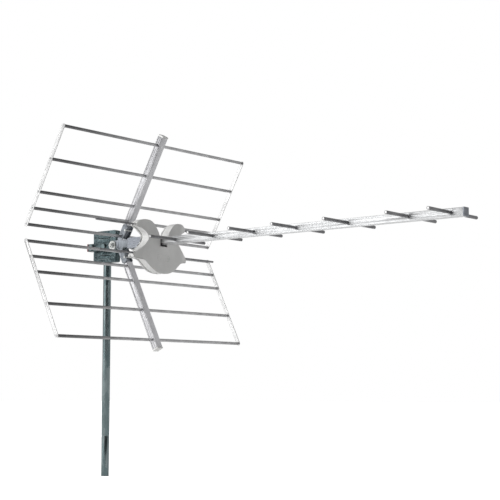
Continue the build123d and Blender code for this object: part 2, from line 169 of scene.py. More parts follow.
def soft_lamp(name, place, target, width, height, power):
    """A rectangular lamp that looks at a target."""
    data = bpy.data.lights.new(name, "AREA")
    data.shape = "RECTANGLE"
    data.size = width
    data.size_y = height
    data.energy = power
    lamp = bpy.data.objects.new(name, data)
    bpy.context.scene.collection.objects.link(lamp)
    lamp.location = place
    lamp.rotation_euler = (Vector(target) - Vector(place)).to_track_quat("-Z", "Y").to_euler()
    lamp.visible_glossy = False    # metal reflects the painted room instead, so no face burns out


soft_lamp("key", (-1.5, -2.6, 1.6), boom, 1.8, 1.8, 94)
soft_lamp("back", (-0.8, 2.2, 2.2), boom, 2.4, 1.2, 12)

# %% [markdown]
# The world is what the metal reflects. The camera sees plain white, but everything else sees a
# studio: a bright wall to the left with a brighter card in it, a soft ceiling, two dimmer walls far
# and behind, and shade where the viewer stands. These are fixed directions in the room, so the light
# stays put when the antenna is looked at from another side.

# %% Paint the studio that the metal reflects
def node(tree, kind, **settings):
    """Add a node to a tree and set its properties."""
    made = tree.nodes.new(kind)
    for key, value in settings.items():
        setattr(made, key, value)
    return made


def wired(tree, kind, inputs, **settings):
    """Add a node and give each of its inputs a link, if the value is a socket, or else the value."""
    made = node(tree, kind, **settings)
    for key, value in inputs.items():
        if isinstance(value, bpy.types.NodeSocket):
            tree.links.new(value, made.inputs[key])
        else:
            made.inputs[key].default_value = value
    return made


def maths(tree, operation, first, second, clamp=False):
    """A maths node with each input either a number or a socket."""
    values = {0: first, 1: second}
    return wired(tree, "ShaderNodeMath", values, operation=operation, use_clamp=clamp).outputs[0]


def product(tree, *factors, clamp=False):
    """Several values multiplied together."""
    total = factors[0]
    for factor in factors[1:]:
        total = maths(tree, "MULTIPLY", total, factor, clamp)
    return total


def vector_maths(tree, operation, first, second):
    """A vector maths node with each input either a vector or a socket."""
    return wired(tree, "ShaderNodeVectorMath", {0: first, 1: second}, operation=operation)


def spread(tree, value, low, high, to_low=0.0, to_high=1.0):
    """Carry a value from one range smoothly into another."""
    values = {"Value": value, "From Min": low, "From Max": high, "To Min": to_low, "To Max": to_high}
    return wired(tree, "ShaderNodeMapRange", values, interpolation_type="SMOOTHSTEP").outputs["Result"]


def lobe(tree, direction, toward, low, high, strength):
    """Strength where a direction points near another, falling smoothly to nothing."""
    dot = vector_maths(tree, "DOT_PRODUCT", direction, Vector(toward).normalized())
    return spread(tree, dot.outputs["Value"], low, high, 0.0, strength)


sky = world.node_tree
room = node(sky, "ShaderNodeTexCoord").outputs["Generated"]
room_level = 0.11
bright_parts = (
    ((-0.66, -0.72, 0.12), 0.6, 0.97, 1.0),       # left wall
    ((-0.2, 0.1, 1.0), 0.3, 0.95, 0.38),          # ceiling
    ((0.75, 0.66, 0.15), 0.6, 0.98, 0.46),        # far wall
    ((-0.45, -0.88, 0.12), 0.92, 0.995, 0.8),     # card in the left wall
    ((-0.15, 0.98, 0.05), 0.87, 0.99, 0.85),      # wall behind
)
viewer_side = ((0.78, -0.62, -0.1), 0.45, 0.9, 0.12)
darkest = 0.02
floor_glow = 0.84
light_level = room_level
for part in bright_parts:
    light_level = maths(sky, "ADD", lobe(sky, room, *part), light_level)
light_level = maths(sky, "SUBTRACT", light_level, lobe(sky, room, *viewer_side))
light_level = maths(sky, "MAXIMUM", light_level, darkest)
seen_by_camera = node(sky, "ShaderNodeLightPath").outputs["Is Camera Ray"]
levels = {"Factor": seen_by_camera, "A": light_level, "B": 1.0}
strength = wired(sky, "ShaderNodeMix", levels, data_type="FLOAT")
sky.links.new(strength.outputs["Result"], background.inputs["Strength"])

# The floor glows a little for the camera alone, so that it runs into the white behind it.
floor_shader.inputs["Emission Color"].default_value = (1.0, 1.0, 1.0, 1.0)
seen_by_camera = node(floor_tree, "ShaderNodeLightPath").outputs["Is Camera Ray"]
glow = product(floor_tree, seen_by_camera, floor_glow)
floor_tree.links.new(glow, floor_shader.inputs["Emission Strength"])
print("world nodes:", len(sky.nodes))

# %% [markdown]
# ## Shared effects
#
# Every metal here was drawn, pressed or galvanised, and every piece has been handled. Those traces
# are made once, as shader node groups, and each finish takes them with its own values; the edges
# also carry painted light. A group puts out only masks, tones and heights. The shader itself stays
# in the material, where its plain numbers can be read by whoever exports it.

# %% Group: lines left by drawing or rolling
def new_group(name, inputs, outputs):
    """A shader group. Each input is (name, type, starting value); each output is a number's name."""
    group = bpy.data.node_groups.new(name, "ShaderNodeTree")
    for label, kind, start in inputs:
        socket = group.interface.new_socket(label, in_out="INPUT", socket_type="NodeSocket" + kind)
        socket.default_value = start
    for label in outputs:
        group.interface.new_socket(label, in_out="OUTPUT", socket_type="NodeSocketFloat")
    return group, node(group, "NodeGroupInput").outputs, node(group, "NodeGroupOutput").inputs


def noise(tree, vector, scale, detail=4.0, rough=0.6):
    """A noise texture on a vector."""
    values = {"Vector": vector, "Scale": scale, "Detail": detail, "Roughness": rough}
    return wired(tree, "ShaderNodeTexNoise", values).outputs["Fac"]


def stretched(tree, vector, factors):
    """Object coordinates multiplied by a vector, which stretches a pattern along an axis."""
    return vector_maths(tree, "MULTIPLY", vector, factors).outputs["Vector"]


def object_place(tree):
    """The piece's own coordinates, in metres."""
    return node(tree, "ShaderNodeTexCoord").outputs["Object"]


tree, source, result = new_group(
    "drawn_lines",
    [("Across", "Vector", (40.0, 1500.0, 1500.0)), ("Depth", "Float", 0.5)],
    ["Tone", "Height"],
)
place = object_place(tree)
fine = noise(tree, stretched(tree, place, source["Across"]), 1.0, 3.0, 0.55)
broad = noise(tree, place, 55.0, 3.0, 0.5)
line_tone = maths(tree, "ADD", product(tree, fine, 0.6), product(tree, broad, 0.4))
tree.links.new(spread(tree, line_tone, 0.35, 0.65), result["Tone"])
tree.links.new(product(tree, fine, source["Depth"]), result["Height"])
drawn_lines = tree
print("group:", drawn_lines.name)

# %% Group: wear and painted light along edges
# A Bevel node looks round each point for a nearby edge and tilts the normal there. How far that
# normal differs from the real one tells where the edges are, whatever the mesh looks like.
tree, source, result = new_group(
    "edge_wear",
    [("Width", "Float", 0.0008), ("Amount", "Float", 1.0)],
    ["Mask"],
)
rounded = wired(tree, "ShaderNodeBevel", {"Radius": source["Width"]}, samples=4)
real_normal = node(tree, "ShaderNodeNewGeometry").outputs["Normal"]
agree = vector_maths(tree, "DOT_PRODUCT", rounded.outputs["Normal"], real_normal)
edge = spread(tree, agree.outputs["Value"], 1.0, 0.9)
place = object_place(tree)
broken = spread(tree, noise(tree, place, 420.0, 4.0, 0.7), 0.3, 0.6)
tree.links.new(product(tree, edge, broken, source["Amount"], clamp=True), result["Mask"])
edge_wear = tree
print("group:", edge_wear.name)

# %% Group: dull patches, and dust that settles on what faces up
tree, source, result = new_group(
    "weathering",
    [("Patch Scale", "Float", 30.0), ("Dust", "Float", 0.3)],
    ["Patches", "Dust"],
)
place = object_place(tree)
patches = spread(tree, noise(tree, place, source["Patch Scale"], 5.0, 0.62), 0.38, 0.68)
tree.links.new(patches, result["Patches"])
real_normal = node(tree, "ShaderNodeNewGeometry").outputs["Normal"]
normal_parts = wired(tree, "ShaderNodeSeparateXYZ", {0: real_normal})
faces_up = spread(tree, normal_parts.outputs["Z"], 0.1, 0.9)
grains = spread(tree, noise(tree, place, 900.0, 3.0, 0.7), 0.35, 0.7)
tree.links.new(product(tree, faces_up, grains, source["Dust"]), result["Dust"])
weathering = tree
print("group:", weathering.name)

# %% Group: the crystals of a zinc coating
tree, source, result = new_group(
    "zinc_crystals",
    [("Scale", "Float", 180.0), ("Stretch", "Vector", (1.0, 1.0, 1.0))],
    ["Tone", "Height"],
)
place = object_place(tree)
bend = wired(tree, "ShaderNodeTexNoise", {"Scale": 140.0, "Vector": place})
bend_size = (0.004, 0.004, 0.004)
bent = {0: bend.outputs["Color"], 1: bend_size, 2: stretched(tree, place, source["Stretch"])}
wobble = wired(tree, "ShaderNodeVectorMath", bent, operation="MULTIPLY_ADD")
cell_inputs = {"Vector": wobble.outputs["Vector"], "Scale": source["Scale"]}
cells = wired(tree, "ShaderNodeTexVoronoi", cell_inputs, feature="F1")
tone_parts = wired(tree, "ShaderNodeSeparateColor", {0: cells.outputs["Color"]})
tree.links.new(tone_parts.outputs["Red"], result["Tone"])
tree.links.new(cells.outputs["Distance"], result["Height"])
zinc_crystals = tree
print("group:", zinc_crystals.name)

# %% [markdown]
# ## Finishes
#
# The metals share one recipe: a dark and a light tone mixed by the pattern that made them, bright
# edges that are partly wear and partly a painted highlight, dull patches that are rougher, and a
# little dust. The recipe is a function, and each finish below is one call with its own colours and
# its own pattern. Doing it this way keeps one place to change how every metal ages, and it keeps
# each finish short enough to compare with the others.

# %% The recipe for metal
def mix_color(tree, factor, first, second):
    """Mix two colours, each a value or a socket."""
    first, second = [(*value, 1.0) if isinstance(value, tuple) else value for value in (first, second)]
    colors = {"Factor": factor, 6: first, 7: second}
    return wired(tree, "ShaderNodeMix", colors, data_type="RGBA").outputs[2]


def use_group(tree, group, **values):
    """Place a group in a material and set its inputs; an underscore stands for a space."""
    made = node(tree, "ShaderNodeGroup", node_tree=group)
    for key, value in values.items():
        made.inputs[key.replace("_", " ")].default_value = value
    return made.outputs


def bump(tree, shader, height, strength, distance):
    """Feed a height to the shader as a bump."""
    values = {"Strength": strength, "Distance": distance, "Height": height}
    made = wired(tree, "ShaderNodeBump", values)
    tree.links.new(made.outputs["Normal"], shader.inputs["Normal"])


dust_color = (0.42, 0.40, 0.37)
near_shade_color = (0.05, 0.05, 0.052)
near_shade_reach = (-0.28, -0.02)          # along Y: the painted shade is darkest at the first, gone at the second
unshaded_tip = (-0.2812, -0.2804)       # the very tip is left out of the painted shade
finishes = {}


def metal(name, dark, light, edge, roughness, pattern, dust=0.12, edge_amount=0.9, relief=0.12, patchy=0.35,
          edge_mark_width=0.0008, near_shade=0.0):
    """Make a worn metal. The pattern is a group and the values for its inputs."""
    material, tree, shader = new_material(name)
    group, values = pattern
    lines = use_group(tree, group, **values)
    edge_mask = use_group(tree, edge_wear, Width=edge_mark_width, Amount=edge_amount)["Mask"]
    weather = use_group(tree, weathering, Dust=dust)
    color = mix_color(tree, lines["Tone"], dark, light)
    dull = tuple(0.72 * (a + b) / 2 for a, b in zip(dark, light))
    color = mix_color(tree, product(tree, weather["Patches"], patchy), color, dull)
    # The edge colour is partly wear and partly a painted highlight; on the rails it is a painted shade.
    color = mix_color(tree, edge_mask, color, edge)
    color = mix_color(tree, weather["Dust"], color, dust_color)
    # Painted shade: the colour darkens towards the near (-Y) ends.
    if near_shade:
        along = wired(tree, "ShaderNodeSeparateXYZ", {0: object_place(tree)}).outputs["Y"]
        near_shaded = product(tree, spread(tree, along, *near_shade_reach, near_shade, 0.0), spread(tree, along, *unshaded_tip))
        color = mix_color(tree, near_shaded, color, near_shade_color)
    tree.links.new(color, shader.inputs["Base Color"])
    rough = spread(tree, weather["Patches"], 0.0, 1.0, roughness, roughness + 0.14)
    rough = maths(tree, "ADD", rough, product(tree, lines["Tone"], 0.06))
    rough = maths(tree, "SUBTRACT", rough, product(tree, edge_mask, 0.08))
    tree.links.new(rough, shader.inputs["Roughness"])
    shader.inputs["Metallic"].default_value = 1.0
    bump(tree, shader, lines["Height"], relief, 0.0004)
    finishes[name] = material


along_x = {"Across": (25.0, 1400.0, 1400.0)}
along_y = {"Across": (1400.0, 25.0, 1400.0)}
along_z = {"Across": (1400.0, 1400.0, 25.0)}
print("dust colour", dust_color)

# %% The antenna's aluminium
# Tubes and rods are drawn, which leaves fine lines along their length. The reflector's rods are the
# dullest, with a painted shade that darkens them towards their near (-Y) ends. Its flat rails are the
# brightest, with their edges painted dark: a painted shade that outlines them.
metal("boom_aluminium", (0.80, 0.81, 0.82), (0.93, 0.94, 0.95), (0.95, 0.95, 0.95), 0.34,
      (drawn_lines, along_x), relief=0.03, patchy=0.12)
metal("element_aluminium", (0.17, 0.17, 0.18), (0.34, 0.34, 0.35), (0.93, 0.93, 0.93), 0.28,
      (drawn_lines, along_y))
# The rods carry a painted shade towards their near (-Y) ends.
metal("reflector_aluminium", (0.44, 0.44, 0.45), (0.68, 0.68, 0.69), (0.85, 0.85, 0.86), 0.30,
      (drawn_lines, along_y), near_shade=0.75)
metal("strut_aluminium", (0.62, 0.62, 0.64), (0.80, 0.80, 0.82), (0.94, 0.94, 0.95), 0.34,
      (drawn_lines, along_z), relief=0.03, patchy=0.2)
# The rails' dark edge colour is a painted shade that outlines their edges.
metal("rail_aluminium", (0.90, 0.90, 0.90), (0.97, 0.97, 0.97), (0.22, 0.22, 0.22), 0.34,
      (drawn_lines, along_z), edge_amount=1.0, relief=0.02, patchy=0.08, edge_mark_width=0.0016)
print("aluminium finishes:", len(finishes))

# %% Steel, zinc and brass
# The mast and the clamp are galvanised, which shows as crystals with a blue-green cast. The hub's
# plates are rolled sheet. Fasteners have a thin bright zinc plating, and the connector is nickel.
metal("mast_steel", (0.15, 0.205, 0.215), (0.28, 0.335, 0.345), (0.50, 0.54, 0.55), 0.26,
      (zinc_crystals, {"Scale": 160.0, "Stretch": (1.0, 1.0, 0.22)}), relief=0.05)
metal("galvanised_steel", (0.042, 0.062, 0.068), (0.15, 0.20, 0.21), (0.66, 0.72, 0.73), 0.30,
      (zinc_crystals, {"Scale": 210.0}), relief=0.12)
metal("hub_plate", (0.22, 0.24, 0.265), (0.36, 0.385, 0.42), (0.90, 0.91, 0.92), 0.30,
      (drawn_lines, along_x))
metal("zinc_fasteners", (0.46, 0.48, 0.47), (0.74, 0.75, 0.74), (0.95, 0.95, 0.94), 0.24,
      (zinc_crystals, {"Scale": 700.0}), relief=0.03)
metal("brass_contacts", (0.60, 0.42, 0.16), (0.80, 0.62, 0.28), (0.95, 0.80, 0.45), 0.28,
      (drawn_lines, along_z), dust=0.0)
metal("connector_nickel", (0.55, 0.53, 0.49), (0.80, 0.78, 0.73), (0.96, 0.95, 0.92), 0.2,
      (drawn_lines, along_x), dust=0.05)
print("finishes so far:", len(finishes))

# %% [markdown]
# Moulded plastic has no grain, but it isn't smooth either. The tool's surface leaves a fine pebble,
# the colour drifts a little where the melt flowed, and corners are rubbed paler. The recipe is the
# same for the white housing, the dark plugs and the grey sleeve.

# %% Moulded pieces
def moulded(name, base, drift, rubbed, roughness, pebble, dust=0.25, coat=0.0):
    """Make a moulded plastic or rubber."""
    material, tree, shader = new_material(name)
    weather = use_group(tree, weathering, Patch_Scale=22.0, Dust=dust)
    edge_mask = use_group(tree, edge_wear, Width=0.0006, Amount=0.5)["Mask"]
    color = mix_color(tree, weather["Patches"], base, drift)
    color = mix_color(tree, edge_mask, color, rubbed)
    color = mix_color(tree, weather["Dust"], color, dust_color)
    tree.links.new(color, shader.inputs["Base Color"])
    tree.links.new(spread(tree, weather["Patches"], 0.0, 1.0, roughness, roughness + 0.12),
                   shader.inputs["Roughness"])
    shader.inputs["Coat Weight"].default_value = coat
    bump(tree, shader, noise(tree, object_place(tree), 1600.0, 2.0, 0.5), pebble, 0.0003)
    finishes[name] = material


moulded("housing_plastic", (0.71, 0.71, 0.70), (0.65, 0.65, 0.64), (0.90, 0.90, 0.89), 0.36, 0.16,
        dust=0.06, coat=0.15)
moulded("dark_plastic", (0.045, 0.045, 0.048), (0.07, 0.07, 0.072), (0.16, 0.16, 0.16), 0.42, 0.25,
        dust=0.10)
moulded("red_plastic", (0.135, 0.010, 0.018), (0.085, 0.008, 0.012), (0.30, 0.07, 0.07), 0.40, 0.25,
        dust=0.08)
moulded("sleeve_plastic", (0.30, 0.32, 0.36), (0.24, 0.26, 0.29), (0.48, 0.50, 0.53), 0.40, 0.22,
        dust=0.08)
moulded("seal_rubber", (0.02, 0.02, 0.02), (0.035, 0.035, 0.035), (0.08, 0.08, 0.08), 0.7, 0.3, dust=0.0)
moulded("circuit_board", (0.015, 0.13, 0.06), (0.02, 0.17, 0.08), (0.45, 0.42, 0.22), 0.35, 0.1,
        dust=0.0, coat=0.5)
print("finishes:", sorted(finishes))

# %% [markdown]
# ## From solids to finished pieces
#
# A solid model's edges are perfectly sharp, and nothing real is. A sharp edge catches no light, so
# it reads as a drawing. For most pieces the cure is the same: take a copy of the solid's mesh, join
# its loose triangles, melt flat areas back into single faces, and let a Bevel modifier round what is
# left. Weighted normals then keep the flat faces flat. The solid itself is never touched; the
# finished copy stands in for it.

# %% Round the edges of a solid's copy
made_pieces = []
sharp_from = math.radians(38)     # edges steeper than this stay sharp in the shading
bevel_from = math.radians(32)     # edges steeper than this are rounded


def merged_copy(name):
    """A bmesh of a solid piece with its loose triangles joined and its flat areas melted."""
    bm = bmesh.new()
    bm.from_mesh(nodes[name].data)
    bmesh.ops.remove_doubles(bm, verts=bm.verts, dist=0.000004)
    bmesh.ops.dissolve_limit(bm, angle_limit=math.radians(0.6), verts=bm.verts, edges=bm.edges)
    return bm


def settle(piece):
    """Replace an object's live modifiers with a plain mesh and give it clean shading."""
    graph = bpy.context.evaluated_depsgraph_get()
    plain = bpy.data.meshes.new_from_object(piece.evaluated_get(graph))
    piece.modifiers.clear()
    piece.data = plain
    plain.polygons.foreach_set("use_smooth", [True] * len(plain.polygons))
    plain.set_sharp_from_angle(angle=sharp_from)
    return piece


def rounded_edges(piece, width, segments=2):
    """Round a piece's edges with a bevel and keep its flat faces flat."""
    bevel = piece.modifiers.new("edges", "BEVEL")
    bevel.width = width
    bevel.segments = segments
    bevel.limit_method = "ANGLE"
    bevel.angle_limit = bevel_from
    bevel.use_clamp_overlap = True
    bevel.harden_normals = True
    return settle(piece)


def hand_over(piece, body, slot, *solids):
    """Give a finished piece its finish, its body and the solids that it stands for."""
    piece.data.materials.clear()
    piece.data.materials.append(finishes[slot])
    piece.data.polygons.foreach_set("material_index", [0] * len(piece.data.polygons))
    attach(piece, body)
    if solids:
        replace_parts(piece, *solids)
    made_pieces.append(piece.name)
    return piece


def refine(name, width, slot=None):
    """The finished copy of one solid piece."""
    piece = rounded_edges(mesh_object(name + "_finished", merged_copy(name)), width)
    return hand_over(piece, body_of_node[name], slot or slot_of_node[name], name)


def skinned(name, bm, rings, closed=True):
    """Join rings of points with faces. The chain of rings closes on itself or is capped at its ends."""
    for ring, following in zip(rings, rings[1:] + rings[:1] if closed else rings[1:]):
        for k in range(len(ring)):
            after = (k + 1) % len(ring)
            bm.faces.new((ring[k], ring[after], following[after], following[k]))
    if not closed:
        bm.faces.new(rings[0])
        bm.faces.new(rings[-1])
    bmesh.ops.recalc_face_normals(bm, faces=bm.faces)
    return mesh_object(name, bm)


print("helpers ready")

# %% [markdown]
# ## The dipole housing
#
# The white housing is two shallow moulded shells. From the front its outline is a belly with two
# wings below and two above, a waist between them, and a notch where the boom comes out. We draw
# that outline once, as corner points with a rounding radius each, and mirror it. The front shell is
# the outline pushed back into a wall, with a gently crowned face and a soft edge. Modelling it from
# an outline keeps the curves exact, where sculpting would only come near them.

# %% The outline of the housing
housing_corners = (
    (22, -62.8, 54),
    (52, -38.5, 16),
    (83, -34.7, 4.5),
    (54, -13.5, 65),
    (40.5, 1, 12),
    (43.5, 12, 12),
    (56, 21.5, 24),
    (76.0, 29, 5),
    (58, 39.0, 32),
    (31, 38.5, 28),
    (15, 17, 12),
    (12, 10, 3),
)


def rounded_outline(corners, first, last):
    """Points along straight runs whose corners are rounded with arcs."""
    step = math.radians(9)
    path = [first] + [(y, z) for y, z, _ in corners] + [last]
    points = [Vector(first)]
    for before, corner, after, radius in zip(path, path[1:], path[2:], [c[2] for c in corners]):
        corner = Vector(corner)
        back, ahead = (Vector(before) - corner).normalized(), (Vector(after) - corner).normalized()
        half = back.angle(ahead) / 2
        centre = corner + (back + ahead).normalized() * radius / math.sin(half)
        start, end = corner + back * radius / math.tan(half), corner + ahead * radius / math.tan(half)
        turn = (start - centre).angle_signed(end - centre)
        count = max(2, round(abs(turn) / step))
        for i in range(count + 1):
            points.append(centre + Matrix.Rotation(-turn * i / count, 2) @ (start - centre))
    return points + [Vector(last)]


right_half = rounded_outline(housing_corners, (0, -62.8), (0, 10))
left_half = [Vector((-p.x, p.y)) for p in reversed(right_half[1:-1])]
millimetre = 0.001
housing_outline = [p * millimetre for p in right_half + left_half]


def inset(outline, amount):
    """The same outline drawn a little smaller."""
    moved = []
    for before, point, after in zip(outline[-1:] + outline[:-1], outline, outline[1:] + outline[:1]):
        along = (after - before).normalized()
        moved.append(point + Vector((-along.y, along.x)) * amount)
    return moved


print("outline points:", len(housing_outline))

# %% The shape of the crowned face
rear_low, rear_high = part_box("housing_rear")
front_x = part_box("housing_front")[1].x
crown_x = front_x - 0.0004
crown_drop, crown_half = 0.0035, 0.070
wing_drop, wing_fold, wing_tip = 0.006, 0.048, 0.083


def crown(y):
    """How far forward the face stands at a distance y from the boom: a low crown, then bent wings."""
    bend = min(max((abs(y) - wing_fold) / (wing_tip - wing_fold), 0.0), 1.0)
    return crown_x - crown_drop * (y / crown_half) ** 2 - wing_drop * bend * bend * (3 - 2 * bend)


print("housing x %.4f to %.4f, split at %.4f" % (rear_low.x, front_x, rear_high.x))

# %% One shell from the outline
def slice_face(bm, y=None, z=None):
    """Cut a flat face along a line of constant y or z."""
    point, normal = ((0, y, 0), (0, 1, 0)) if z is None else ((0, 0, z), (0, 0, 1))
    everything = bm.verts[:] + bm.edges[:] + bm.faces[:]
    bmesh.ops.bisect_plane(bm, geom=everything, plane_co=point, plane_no=normal)


def outline_shell(name, outline, wall_x, face_at, soft, opening, segments=4):
    """An open shell: a face where face_at(y) says and a wall back to wall_x, with a soft edge."""
    half_width, low, high = opening
    bm = bmesh.new()
    bm.faces.new([bm.verts.new((0.0, p.x, p.y)) for p in outline])
    for y in (*(cut * 0.005 for cut in range(-16, 17)), -half_width, half_width):
        slice_face(bm, y=y)
    for z in (low, high):
        slice_face(bm, z=z)
    inside = [f for f in bm.faces if abs(f.calc_center_median().y) < half_width
              and low < f.calc_center_median().z < high]
    outer_edges = [e for e in bm.edges if e.is_boundary]
    bmesh.ops.delete(bm, geom=inside, context="FACES")
    face_verts = list(bm.verts)
    extruded = bmesh.ops.extrude_edge_only(bm, edges=outer_edges)["geom"]
    wall_verts = [g for g in extruded if isinstance(g, bmesh.types.BMVert)]
    for v in face_verts:
        v.co = (face_at(v.co.y), boom.y + v.co.y, boom.z + v.co.z)
    for v in wall_verts:
        v.co = (wall_x, boom.y + v.co.y, boom.z + v.co.z)
    bmesh.ops.recalc_face_normals(bm, faces=bm.faces)
    bm.normal_update()
    rim = [e for e in bm.edges if len(e.link_faces) == 2 and e.calc_face_angle() > math.radians(60)]
    bmesh.ops.bevel(bm, geom=rim, offset=soft, segments=segments, profile=0.5, affect="EDGES",
                    clamp_overlap=True)
    outwards = 1.0 if face_at(0.0) > wall_x else -1.0
    if max(bm.faces, key=lambda f: f.calc_area()).normal.x * outwards < 0:
        bmesh.ops.reverse_faces(bm, faces=bm.faces)
    return mesh_object(name, bm)


def solidify(piece, thickness):
    """Give a shell its wall, inwards."""
    wall = piece.modifiers.new("wall", "SOLIDIFY")
    wall.thickness = thickness
    wall.offset = -1.0
    wall.use_even_offset = False


def collar(centre, side, inner, outer, length):
    """A bmesh ring round an arm, tapering away from the housing."""
    bm = bmesh.new()
    profile = [(inner, 0.0), (outer, 0.0), (outer * 0.92, length * 0.75), (outer * 0.8, length),
               (inner, length)]
    turns = 24
    rings = []
    for i in range(turns):
        angle = 2 * math.pi * i / turns
        rings.append([bm.verts.new((centre.x + radius * math.cos(angle), centre.y + side * out,
                                    centre.z + radius * math.sin(angle))) for radius, out in profile])
    return skinned("collar", bm, rings)


print("shell helpers ready")

# %% [markdown]
# The front shell has an opening for the boom, a little larger than the tube, which shows as the dark
# gap round it. Each arm leaves through a small tapered collar. The belly carries a plain raised ring
# with a smaller one inside it.

# %% The front shell
wall = 0.002
opening = (0.0102, -0.0112, 0.0082)
front_shell = outline_shell("housing_front_shell", housing_outline, rear_high.x + 0.0002, crown, 0.0022,
                            opening)
solidify(front_shell, wall)
settle(front_shell)
print("front shell faces:", len(front_shell.data.polygons))


# %% The relief on its belly
def ring_on_crown(half_length, half_height, rise, width, centre_z):
    """A low half-round ring laid on the crowned face: a slot's outline with a small section."""
    bm = bmesh.new()
    straight = half_length - half_height
    sink, steps = 0.0002, 48
    rings = []
    for i in range(steps):
        angle = 2 * math.pi * i / steps
        shift = straight if math.cos(angle) > 0 else -straight
        around = Vector((math.cos(angle), math.sin(angle)))
        ring = []
        for tilt in [math.pi * k / 5 for k in range(6)]:
            reach = half_height + width * math.cos(tilt)
            y, z = shift + around.x * reach, centre_z + around.y * reach
            ring.append(bm.verts.new((crown(y) + rise * math.sin(tilt) - sink, boom.y + y, boom.z + z)))
        rings.append(ring)
    return skinned("relief", bm, rings)


def join(name, *parts):
    """Join finished meshes into one object."""
    bm = bmesh.new()
    for part in parts:
        bm.from_mesh(part.data)
        bpy.data.objects.remove(part)
    return mesh_object(name, bm)


relief_z = -0.034
outer_ring = ring_on_crown(0.017, 0.0065, 0.0008, 0.0009, relief_z)
inner_ring = ring_on_crown(0.0115, 0.0028, 0.0007, 0.0007, relief_z)
side_wall = {"upper": 0.0705, "lower": 0.0715}   # where the arms come out, measured from the boom
collar_bore, collar_radius, collar_length = 0.0021, 0.0035, 0.003
collars = []
for level, reach in side_wall.items():
    arm = middle(f"dipole_arm_{level}_near")
    for side in (-1, 1):
        foot = Vector((arm.x, boom.y + side * reach, arm.z))
        collars.append(collar(foot, side, collar_bore, collar_radius, collar_length))
housing_front = join("housing_front_finished", front_shell, outer_ring, inner_ring, *collars)
settle(housing_front)
hand_over(housing_front, "antenna", "housing_plastic", "housing_front")
print("front shell with its relief:", len(housing_front.data.polygons), "faces")

# %% The rear shell
# It is the same outline drawn a little smaller and flat at the back, so that a dark line of shadow
# runs round the joint.
tight_opening = (0.008, -0.008, 0.008)
shadow_line = 0.0012
seal_back = rear_high.x - shadow_line
rear_shell = outline_shell("housing_rear_shell", inset(housing_outline, shadow_line), seal_back,
                           lambda y: rear_low.x, 0.0016, tight_opening, 3)
solidify(rear_shell, wall)
settle(rear_shell)
rear_shell.name = "housing_rear_finished"
hand_over(rear_shell, "antenna", "housing_plastic", "housing_rear")
print("rear shell faces:", len(rear_shell.data.polygons))

# %% The seal between the shells
# A dark cord runs round the joint, a little inside the outline.
bm = bmesh.new()
seal_outer, seal_inner = 0.0004, 0.0018
section = ((seal_back, seal_outer), (rear_high.x, seal_outer),
           (rear_high.x, seal_inner), (seal_back, seal_inner))
loops = [[bm.verts.new((x, boom.y + p.x, boom.z + p.y)) for p in inset(housing_outline, depth)]
         for x, depth in section]
seal = settle(skinned("housing_seal_finished", bm, loops))
hand_over(seal, "antenna", "seal_rubber", "housing_seal")
print("seal faces:", len(seal.data.polygons))

# %% [markdown]
# ## Pieces that repeat
#
# The directors, their end discs, the reflector's rods and the dipole arms are each one shape used
# many times. Geometry Nodes place them. One tree carries a shape to every point of a guide and turns
# each copy about its own length, from a fixed seed. Another lays points on a rule: even places along
# a line, with some left empty. Both end by making the copies real and giving them their finish,
# because copies that are only references are lost on export.

# %% The tree that sets a shape on every guide point
def geometry_tree(name, inputs):
    """A Geometry Nodes tree with named inputs. Each input is (name, type)."""
    tree = bpy.data.node_groups.new(name, "GeometryNodeTree")
    tree.interface.new_socket("Geometry", in_out="INPUT", socket_type="NodeSocketGeometry")
    for label, kind in inputs:
        tree.interface.new_socket(label, in_out="INPUT", socket_type="NodeSocket" + kind)
    tree.interface.new_socket("Geometry", in_out="OUTPUT", socket_type="NodeSocketGeometry")
    return tree, node(tree, "NodeGroupInput").outputs, node(tree, "NodeGroupOutput").inputs


def finish_real(tree, geometry, source, result):
    """Make copies real and give them their finish."""
    real = wired(tree, "GeometryNodeRealizeInstances", {"Geometry": geometry}).outputs["Geometry"]
    finish = wired(tree, "GeometryNodeSetMaterial", {"Geometry": real, "Material": source["Finish"]})
    tree.links.new(finish.outputs["Geometry"], result["Geometry"])


def set_and_finish(tree, points, source, result):
    """Set the piece on the points, turn the copies, make them real and give them their finish."""
    shape = wired(tree, "GeometryNodeObjectInfo", {"Object": source["Piece"]})
    turn = wired(tree, "FunctionNodeRandomValue", {"Max": source["Turn"], "Seed": source["Seed"]},
                 data_type="FLOAT_VECTOR")
    copies = wired(tree, "GeometryNodeInstanceOnPoints", {
        "Points": points, "Instance": shape.outputs["Geometry"], "Rotation": turn.outputs["Value"]})
    finish_real(tree, copies.outputs["Instances"], source, result)


common_inputs = [("Piece", "Object"), ("Turn", "Vector"), ("Seed", "Int"), ("Finish", "Material")]
on_points, source, result = geometry_tree("set_on_points", common_inputs)
set_and_finish(on_points, source["Geometry"], source, result)
print("tree:", on_points.name, len(on_points.nodes), "nodes")

# %% The tree that leaves places empty
# Seven even places, of which the fourth and the sixth stay empty: close rods near the hub, where the
# field is strong, and wide gaps further out.
rod_rule, source, result = geometry_tree(
    "rods_by_rule", [("Start", "Vector"), ("Pitch", "Vector"), ("Places", "Int"), ("First Gap", "Int"),
                     ("Second Gap", "Int"), *common_inputs])
places = wired(rod_rule, "GeometryNodeMeshLine", {
    "Count": source["Places"], "Start Location": source["Start"], "Offset": source["Pitch"]})
index = node(rod_rule, "GeometryNodeInputIndex").outputs[0]
empty_place = [
    wired(rod_rule, "FunctionNodeCompare", {2: index, 3: source[gap]}, data_type="INT", operation="EQUAL")
    for gap in ("First Gap", "Second Gap")]
either = wired(rod_rule, "FunctionNodeBooleanMath",
               {k: same.outputs[0] for k, same in enumerate(empty_place)}, operation="OR")
kept = wired(rod_rule, "GeometryNodeDeleteGeometry",
             {"Geometry": places.outputs["Mesh"], "Selection": either.outputs[0]})
set_and_finish(rod_rule, kept.outputs["Geometry"], source, result)
print("tree:", rod_rule.name, len(rod_rule.nodes), "nodes")


